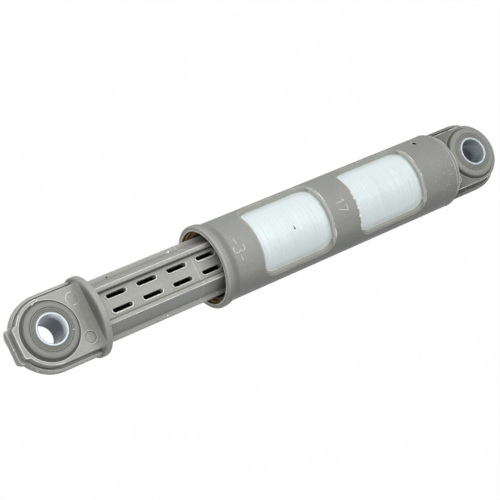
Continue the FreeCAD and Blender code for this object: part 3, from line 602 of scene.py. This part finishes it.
def strip_tree(finish):
    """The friction lining: a foam strip bent round the plunger's groove until its ends nearly meet."""
    tree, given, result = new_group("FrictionStrip", GEOMETRY_TREE, [
        ("Base", GEOMETRY, None), ("Length", FLOAT, 27.8 * MM), ("Girth", FLOAT, 73.0 * MM),
        ("Thickness", FLOAT, 2.5 * MM), ("Outer Radius", FLOAT, 11.95 * MM), ("Start", FLOAT, 0.0),
        ("Crumple", FLOAT, 0.1 * MM)], [("Strip", GEOMETRY)])
    size = add_node(tree, "ShaderNodeCombineXYZ",
                    {0: given["Length"], 1: given["Girth"], 2: given["Thickness"]}).outputs[0]
    block = add_node(tree, "GeometryNodeMeshCube",
                     {"Size": size, "Vertices X": 36, "Vertices Y": 110, "Vertices Z": 5}).outputs[0]
    place = add_node(tree, "GeometryNodeInputPosition").outputs[0]
    noise = add_node(tree, "ShaderNodeTexNoise", {"Vector": place, "Scale": 420.0, "Detail": 3.0}).outputs[0]
    dent = calculate(tree, "MULTIPLY", spread(tree, noise, 0.3, 0.7, -1.0, 0.0), given["Crumple"])
    half = calculate(tree, "MULTIPLY", given["Thickness"], -0.5)
    middle = calculate(tree, "ADD", given["Start"], calculate(tree, "MULTIPLY", given["Length"], 0.5))
    rise = calculate(tree, "ADD", half, dent)
    offset = add_node(tree, "ShaderNodeCombineXYZ", {0: middle, 2: rise}).outputs[0]
    block = add_node(tree, "GeometryNodeSetPosition", {"Geometry": block, "Offset": offset}).outputs[0]
    end_tree(tree, bend_round(tree, block, given["Outer Radius"]), result, finish)
    return tree


def make_piece(name, tree, values, base=None):
    """Runs a tree on a base mesh and keeps what it makes as a plain mesh piece."""
    mesh = base or bpy.data.meshes.new(name + "_base")
    holder = bpy.data.objects.new(name + "_holder", mesh)
    bpy.context.scene.collection.objects.link(holder)
    modifier = holder.modifiers.new("Nodes", "NODES")
    modifier.node_group = tree
    for item in tree.interface.items_tree:
        if item.in_out == "INPUT" and item.name in values:
            modifier[item.identifier] = values[item.name]
    graph = bpy.context.evaluated_depsgraph_get()
    made = bpy.data.meshes.new_from_object(holder.evaluated_get(graph), depsgraph=graph)
    bpy.data.objects.remove(holder)
    made.name = name
    made.shade_smooth()
    piece = bpy.data.objects.new(name, made)
    bpy.context.scene.collection.objects.link(piece)
    return piece


def path_mesh(name, paths):
    """Edges only: each path is a list of points, and a path that ends where it starts is closed."""
    points, edges = [], []
    for path in paths:
        closed = path[0] == path[-1]
        body = path[:-1] if closed else path
        first = len(points)
        points.extend(body)
        edges.extend((first + i, first + i + 1) for i in range(len(body) - 1))
        if closed:
            edges.append((first + len(body) - 1, first))
    mesh = bpy.data.meshes.new(name + "_paths")
    mesh.from_pydata(points, edges, [])
    return mesh


# The friction lining, as the foam strip that it is

low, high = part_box("friction_lining")
strip = make_piece("friction_strip", strip_tree(FINISHES["friction_lining"]), {
    "Length": high.x - low.x - 0.2 * MM, "Girth": high.z * math.radians(354), "Thickness": 2.5 * MM,
    "Outer Radius": high.z - 0.02 * MM, "Start": low.x + 0.1 * MM, "Crumple": 0.12 * MM})
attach(strip, "lining")
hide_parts("friction_lining")


# The rubber bushes, lathed, with their soft flanges standing proud of the wells

FACE_START, FACE_END, FACE_STEPS = 5.92, 8.2, 38
FACE_HEIGHT, GROOVE_HALF_DEPTH = 7.0, 0.18
FLANGE_WIDTH = 1.9
# The flange's rounding as distance from the pin and height, drawn for a flange that reaches 10.1
FLANGE_ROUNDING = ((8.5, 6.97), (8.9, 6.87), (9.3, 6.74), (9.6, 6.6), (9.85, 6.42), (10.02, 6.18),
                   (10.1, 5.9), (10.13, 5.5))
SKIRT = [(10.62, 4.96), (10.7, 4.8), (10.7, 3.2), (10.55, 2.8), (10.3, 2.68), (8.8, 2.66), (8.6, 2.5),
         (8.58, 2.0)]
BUSH_STEPS = 120


def bush_profile(reach):
    """Half of the bush's section as distance from the pin and height, from the liner outwards to the waist."""
    face = []
    for i in range(FACE_STEPS + 1):
        radius = FACE_START + (FACE_END - FACE_START) * i / FACE_STEPS
        wave = 1 + math.cos(math.tau * (radius - GROOVE_START) / GROOVE_PITCH)
        face.append((radius, FACE_HEIGHT - GROOVE_HALF_DEPTH * wave))
    swell = (reach - FACE_END) / FLANGE_WIDTH
    flange = [(FACE_END + (radius - FACE_END) * swell, height) for radius, height in FLANGE_ROUNDING]
    return face + flange + [(reach + 0.15, 5.12)] + SKIRT


def lathed_bush(name, body, eye, finish, reach):
    upper = bush_profile(reach)
    section = upper + [(radius, -height) for radius, height in reversed(upper)]
    shape = bmesh.new()
    rings = []
    for step in range(BUSH_STEPS):
        turn = math.tau * step / BUSH_STEPS
        across, aside = math.cos(turn) * MM, math.sin(turn) * MM
        rings.append([shape.verts.new((eye + radius * across, radius * aside, height * MM))
                      for radius, height in section])
    for step in range(BUSH_STEPS):
        here, following = rings[step], rings[(step + 1) % BUSH_STEPS]
        for i in range(len(section)):
            onward = (i + 1) % len(section)
            shape.faces.new((here[i], here[onward], following[onward], following[i]))
    bmesh.ops.recalc_face_normals(shape, faces=shape.faces[:])
    mesh = bpy.data.meshes.new(name)
    shape.to_mesh(mesh)
    shape.free()
    mesh.shade_smooth()
    mesh.materials.append(finish)
    bush = bpy.data.objects.new(name, mesh)
    bpy.context.scene.collection.objects.link(bush)
    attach(bush, body)
    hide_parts(body + "_bush")


for body_name, reach in BUSH_REACH.items():
    lathed_bush(body_name + "_bush_rubber", body_name, EYES[body_name], FINISHES[body_name + "_bush"], reach)


# Mould numbers on the housing, in the plain strokes of an engraver's machine

def arc_points(centre, radius, start, end, count=10):
    """Points on an arc in a figure's own square, angles in degrees."""
    turns = [math.radians(start + (end - start) * i / count) for i in range(count + 1)]
    return [(centre[0] + radius * math.cos(turn), centre[1] + radius * math.sin(turn)) for turn in turns]


# Each figure is drawn in a box 0.66 wide and 1 high, its foot at 0
FIGURES = {
    "1": [[(0.12, 0.74), (0.36, 1.0), (0.36, 0.0)]],
    "3": [arc_points((0.33, 0.74), 0.26, 150, -70) + arc_points((0.31, 0.28), 0.28, 80, -150)],
    "7": [[(0.04, 1.0), (0.62, 1.0), (0.24, 0.0)]],
    "-": [[(0.06, 0.46), (0.6, 0.46)]],
}


def figure_paths(text, height, step, start_x, start_angle):
    """The figures' strokes laid out flat: they read round the tube, with their tops towards the closed end."""
    paths = []
    for place, figure in enumerate(text):
        start_y = TUBE_RADIUS * math.radians(start_angle) + place * step * MM
        for stroke in FIGURES[figure]:
            paths.append([((start_x - up * height) * MM, start_y + across * height * MM, 0.0)
                          for across, up in stroke])
    return paths


def bead_piece(name, body, tree, paths, radius, spacing, **values):
    """Beads along some paths, as a piece that rides on a body; radius and spacing in millimetres."""
    given = {"Bead Radius": radius * MM, "Spacing": spacing * MM}
    given.update({label.replace("_", " "): value for label, value in values.items()})
    piece = make_piece(name, tree, given, path_mesh(name, paths))
    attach(piece, body)
    return piece


def plastic_bead(name, body, *settings, **values):
    """A bead piece that rides on one of the two mouldings."""
    bead_piece(name, body, *settings, **values)


for name, text, height, step, start_x, start_angle, bead, finish in (
        ("mould_number_mouth", "-3-", 4.6, 3.2, 123.4, -15.5, 0.28, NUMBER_EDGE),
        ("mould_number_band", "17", 4.1, 2.9, 75.7, -9.0, 0.18, HOUSING_PLASTIC)):
    plastic_bead(name, "housing", bead_tree("Tree_" + name, finish, wrap=True),
                 figure_paths(text, height, step, start_x, start_angle), bead, 0.35)


# Lines read off the solids and drawn round them

def merged_copy(node):
    """The node's own mesh with its loose triangles joined, for reading shapes off it."""
    shape = bmesh.new()
    shape.from_mesh(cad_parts[node].data)
    bmesh.ops.remove_doubles(shape, verts=shape.verts, dist=0.002 * MM)
    return shape


def chain_edges(pairs):
    """Chains of point numbers that follow the given edges, closed ones ending where they start."""
    linked = {}
    for first, second in pairs:
        linked.setdefault(first, []).append(second)
        linked.setdefault(second, []).append(first)
    chains, left = [], {frozenset(pair) for pair in pairs}
    while left:
        first, second = sorted(min(left, key=sorted))
        left.discard(frozenset((first, second)))
        chain = [first, second]
        while True:
            onward = [number for number in linked[chain[-1]] if frozenset((chain[-1], number)) in left]
            if not onward:
                break
            left.discard(frozenset((chain[-1], onward[0])))
            chain.append(onward[0])
        chains.append(chain)
    return chains


def witness_paths():
    """The outline of the plunger's shaft where two mould blocks met, a little further out on the ribs."""
    cut_x, jog = 136.4, 0.3
    shape = merged_copy("plunger")
    cut = bmesh.ops.bisect_plane(shape, geom=shape.verts[:] + shape.edges[:] + shape.faces[:],
                                 plane_co=(cut_x * MM, 0, 0), plane_no=(1, 0, 0),
                                 clear_inner=True, clear_outer=True)
    lines = [item for item in cut["geom_cut"] if isinstance(item, bmesh.types.BMEdge)]
    shape.verts.index_update()
    spots = {vert.index: vert.co.copy() for line in lines for vert in line.verts}
    chains = chain_edges([tuple(vert.index for vert in line.verts) for line in lines])
    shape.free()
    points = []
    for spot in (spots[index] for index in max(chains, key=len)):
        on_panel = abs(spot.z) < (PANEL_HEIGHT + 0.4) * MM and abs(spot.y) < 5.2 * MM
        points.append(((cut_x - jog if on_panel else cut_x + jog) * MM, spot.y, spot.z))
    return [points]


def borders(node, on_skin):
    """The lines where the part of a node's skin that the test keeps meets the rest of it."""
    shape = merged_copy(node)
    shape.verts.index_update()
    kept = {vert.index for vert in shape.verts if on_skin(vert.co)}
    pairs, spots = [], {}
    for line in shape.edges:
        if len(line.link_faces) != 2 or any(vert.index not in kept for vert in line.verts):
            continue
        sides = [all(vert.index in kept for vert in face.verts) for face in line.link_faces]
        if sides[0] == sides[1]:
            continue
        pairs.append(tuple(vert.index for vert in line.verts))
        for vert in line.verts:
            spots[vert.index] = vert.co.copy()
    shape.free()
    return [[spots[index] for index in chain] for chain in chain_edges(pairs) if len(chain) > 10]


def chosen_runs(chains, wanted):
    """The stretches of some lines whose points pass a test."""
    runs = []
    for edge in chains:
        run = []
        for spot in edge:
            if wanted(spot):
                run.append(tuple(spot))
            elif run:
                runs.append(run)
                run = []
        runs.append(run)
    return [run for run in runs if len(run) > 2]


def at_height(spot, height):
    """Whether a point lies on either of the two faces at that height."""
    return abs(abs(spot.z) - height * MM) < 0.004 * MM


def window_edges():
    """The windows' edges where their slope meets the round of the tube."""
    found = borders("housing", lambda spot: math.hypot(spot.y, spot.z) > TUBE_RADIUS - 0.003 * MM)
    return [edge for edge in found if all(31 * MM < spot.x < 116 * MM for spot in edge)]


def slot_edges():
    """The edges of the slots in the shaft's panels that carry a painted highlight, which is the half of each
    that lies towards +y.
    """
    row, half_from = 2.7 * MM, -0.35 * MM
    into_slot, lift = -0.3 * MM, 0.14 * MM
    found = borders("plunger", lambda spot: at_height(spot, PANEL_HEIGHT) and abs(spot.y) < 4.8 * MM)
    slots = [edge for edge in found if all(abs(spot.y) < 4.4 * MM for spot in edge) and edge[0].x < 176 * MM]
    highlit_halves = chosen_runs(slots, lambda spot: spot.y - math.copysign(row, spot.y) > half_from)
    return [[(x, y + into_slot, z + math.copysign(lift, z)) for x, y, z in run] for run in highlit_halves]


def plate_edges(node):
    """The outer edges of an eye's two side plates."""
    eye = EYES[node]
    found = borders(node, lambda spot: at_height(spot, PLATE_HEIGHT) and abs(spot.x - eye) < 18 * MM)
    return [edge for edge in found if max(math.hypot(spot.x - eye, spot.y) for spot in edge) > 11.4 * MM]


def rib_lines():
    """The outer corners of the four ribs on the shaft's panels, where a painted highlight runs."""
    start, steps, corner = 111.0, 66, (6.53, 9.18)
    return [[((start + step) * MM, side * corner[0] * MM, up * corner[1] * MM) for step in range(steps)]
            for side in (-1, 1) for up in (-1, 1)]


def ring_points(centre, radius, along="x", count=72):
    """A closed ring round the damper's axis or round a pin."""
    points = []
    for step in range(count):
        turn = math.tau * step / count
        side, up = radius * math.cos(turn), radius * math.sin(turn)
        points.append(centre + (Vector((0, side, up)) if along == "x" else Vector((side, up, 0))))
    return [tuple(point) for point in points + points[:1]]


def axis_ring(x, radius):
    return ring_points(Vector((x, 0, 0)), radius)


plastic_bead("witness_line", "plunger", bead_tree("WitnessBead", PLUNGER_PLASTIC), witness_paths(),
             0.075, 0.5, Unevenness=0.4, Patch_per_m=500.0)

edges = window_edges()
thin_tree = bead_tree("EdgeBead", HOUSING_PLASTIC)
plastic_bead("window_lip", "housing", thin_tree, [[tuple(spot) for spot in edge] for edge in edges],
             0.06, 0.5, Unevenness=0.5, Patch_per_m=160.0)

torn_and_highlight_tree = bead_tree("TornAndHighlightBead", PALE_BURR_AND_HIGHLIGHT)
flash = chosen_runs(edges, lambda spot: 66.9 * MM < spot.x < 67.3 * MM and spot.y > -4 * MM and spot.z > 0)
# The nicks are rough plastic on the windows' far-end edges, whitish as painted highlight
nicks = chosen_runs(edges, lambda spot: spot.x < 34.4 * MM or 79 * MM < spot.x < 79.7 * MM)
for name, paths, bead, patch in (("window_flash", flash, 0.3, 700.0), ("window_nicks", nicks, 0.13, 320.0)):
    plastic_bead(name, "housing", torn_and_highlight_tree, paths, bead, 0.25, Unevenness=1.5, Patch_per_m=patch)

# Painted highlights: light beads along the slots', ribs' and eye plates' edges
highlight_tree = bead_tree("HighlightBead", EDGE_HIGHLIGHT)
plunger_plates = chosen_runs(plate_edges("plunger"), lambda spot: spot.x > 181.6 * MM)
housing_plates = chosen_runs(plate_edges("housing"), lambda spot: spot.x < 15.0 * MM)
for name, body, paths, bead, uneven in (
        ("slot_lips", "plunger", slot_edges(), 0.26, 0.3),
        ("rib_lips", "plunger", rib_lines(), 0.17, 0.25),
        ("plunger_plate_lips", "plunger", plunger_plates, 0.15, 0.8),
        ("housing_plate_lips", "housing", housing_plates, 0.1, 0.7)):
    plastic_bead(name, body, highlight_tree, paths, bead, 0.4, Unevenness=uneven, Patch_per_m=220.0)

# Painted highlight: a light bead round the mouth's inner edge
plastic_bead("mouth_lip", "housing", torn_and_highlight_tree, [axis_ring(MOUTH - 0.19 * MM, 14.12 * MM)],
             0.27, 0.6, Unevenness=0.2, Patch_per_m=120.0)
bead_piece("mouth_grease", "housing", bead_tree("GreaseBead", GREASE),
           [axis_ring(SLEEVE_END + 0.4 * MM, 13.75 * MM)], 0.6, 0.4, Unevenness=0.85, Patch_per_m=240.0)
end_rings = [axis_ring(x * MM, radius * MM) for x, radius in ((15.32, 13.78), (17.5, 14.86))]
plastic_bead("end_lip", "housing", thin_tree, end_rings, 0.1, 0.5, Unevenness=0.5, Patch_per_m=200.0)

# Small burrs on the plunger's eye, as places in millimetres, and the ring that an ejector pin leaves
BURRS = [
    [(196.87, -10.30, 5.00), (195.60, -10.85, 5.02), (194.60, -11.15, 5.02), (193.94, -11.34, 5.00)],
    [(207.92, 0.40, 1.50), (207.94, 1.30, 1.52)],
    [(203.45, 9.90, 1.50), (203.55, 10.55, 1.50)],
]
burr_paths = [[tuple(value * MM for value in point) for point in burr] for burr in BURRS]
pin_ring = ring_points(Vector((EYES["plunger"] - PIN_MARK_OFFSET[0] * MM, PIN_MARK_OFFSET[1] * MM,
                               PLATE_HEIGHT * MM)), 2.3 * MM, "z", 40)
for name, paths, bead in (("plunger_burrs", burr_paths, 0.16), ("ejector_ring", [pin_ring], 0.06)):
    plastic_bead(name, "plunger", bead_tree(name + "_tree", PALE_BURR_AND_HIGHLIGHT), paths,
                 bead, 0.2, Unevenness=0.4, Patch_per_m=900.0)


# Floor, light and camera

def seen_directly(tree):
    """1 for rays from the camera, mirrored or not, and 0 for light that bounces about."""
    rays = add_node(tree, "ShaderNodeLightPath").outputs
    mirrored = calculate(tree, "MAXIMUM", rays["Is Glossy Ray"], rays["Is Transmission Ray"])
    return calculate(tree, "MAXIMUM", rays["Is Camera Ray"], mirrored)


def make_floor():
    reach = 3.0
    mesh = bpy.data.meshes.new("floor")
    mesh.from_pydata([(x * reach, y * reach, FLOOR_HEIGHT) for x, y in ((-1, -1), (1, -1), (1, 1), (-1, 1))],
                     [], [(0, 1, 2, 3)])
    floor = bpy.data.objects.new("floor", mesh)
    bpy.context.scene.collection.objects.link(floor)
    material = bpy.data.materials.new("FloorPaper")
    material.use_nodes = True
    tree = material.node_tree
    tree.nodes.clear()
    paper = add_node(tree, "ShaderNodeBsdfDiffuse", {"Color": (0.58, 0.62, 0.66, 1.0)})
    glow = add_node(tree, "ShaderNodeEmission", {"Color": (1.0, 1.0, 1.0, 1.0), "Strength": 1.0})
    share = calculate(tree, "MULTIPLY", seen_directly(tree), 0.985)
    mixed = add_node(tree, "ShaderNodeMixShader", {0: share, 1: paper.outputs[0], 2: glow.outputs[0]})
    output = add_node(tree, "ShaderNodeOutputMaterial")
    tree.links.new(mixed.outputs[0], output.inputs[0])
    mesh.materials.append(material)


def make_world():
    lit, seen = 0.03, 1.0
    world = bpy.data.worlds.new("Tent")
    bpy.context.scene.world = world
    world.use_nodes = True
    tree = world.node_tree
    tree.nodes.clear()
    strength = spread(tree, seen_directly(tree), 0.0, 1.0, lit, seen)
    light = add_node(tree, "ShaderNodeBackground", {"Color": (1.0, 1.0, 1.0, 1.0), "Strength": strength})
    output = add_node(tree, "ShaderNodeOutputWorld")
    tree.links.new(light.outputs[0], output.inputs[0])


def add_softbox(name, direction, size, power, stand_off=0.8, aim=(0.1, 0.0, 0.0)):
    """A square softbox that stands off the aim point and faces it."""
    lamp = bpy.data.lights.new(name, "AREA")
    lamp.shape = "SQUARE"
    lamp.size = size
    lamp.energy = power
    box = bpy.data.objects.new(name, lamp)
    towards = Vector(direction).normalized()
    box.location = Vector(aim) + towards * stand_off
    box.rotation_euler = towards.to_track_quat("Z", "Y").to_euler()
    bpy.context.scene.collection.objects.link(box)


def make_camera():
    """The photograph's view: a long lens from above the plunger's end, held at a slant."""
    place, aim, roll = Vector((0.38120, 0.05875, 0.46191)), Vector((0.10855, 0.00063, 0.0)), 52.987
    lens = bpy.data.cameras.new("Camera")
    lens.lens = 106.17
    lens.sensor_width = 36.0
    lens.clip_start = 0.01
    lens.clip_end = 20.0
    camera = bpy.data.objects.new("Camera", lens)
    turn = (place - aim).to_track_quat("Z", "Y").to_matrix() @ Matrix.Rotation(math.radians(roll), 3, "Z")
    camera.matrix_world = Matrix.Translation(place) @ turn.to_4x4()
    bpy.context.scene.collection.objects.link(camera)
    bpy.context.scene.camera = camera


make_floor()
make_world()
add_softbox("TopSoftbox", (0.0, -0.12, 1.0), size=1.1, power=9.8)
add_softbox("SideSoftbox", (0.0, -0.8, 0.6), size=0.5, power=0.7)
add_softbox("MouthSideSoftbox", (0.8, 0.0, 0.6), size=0.5, power=0.8)
make_camera()
bpy.context.scene.view_settings.view_transform = "Standard"
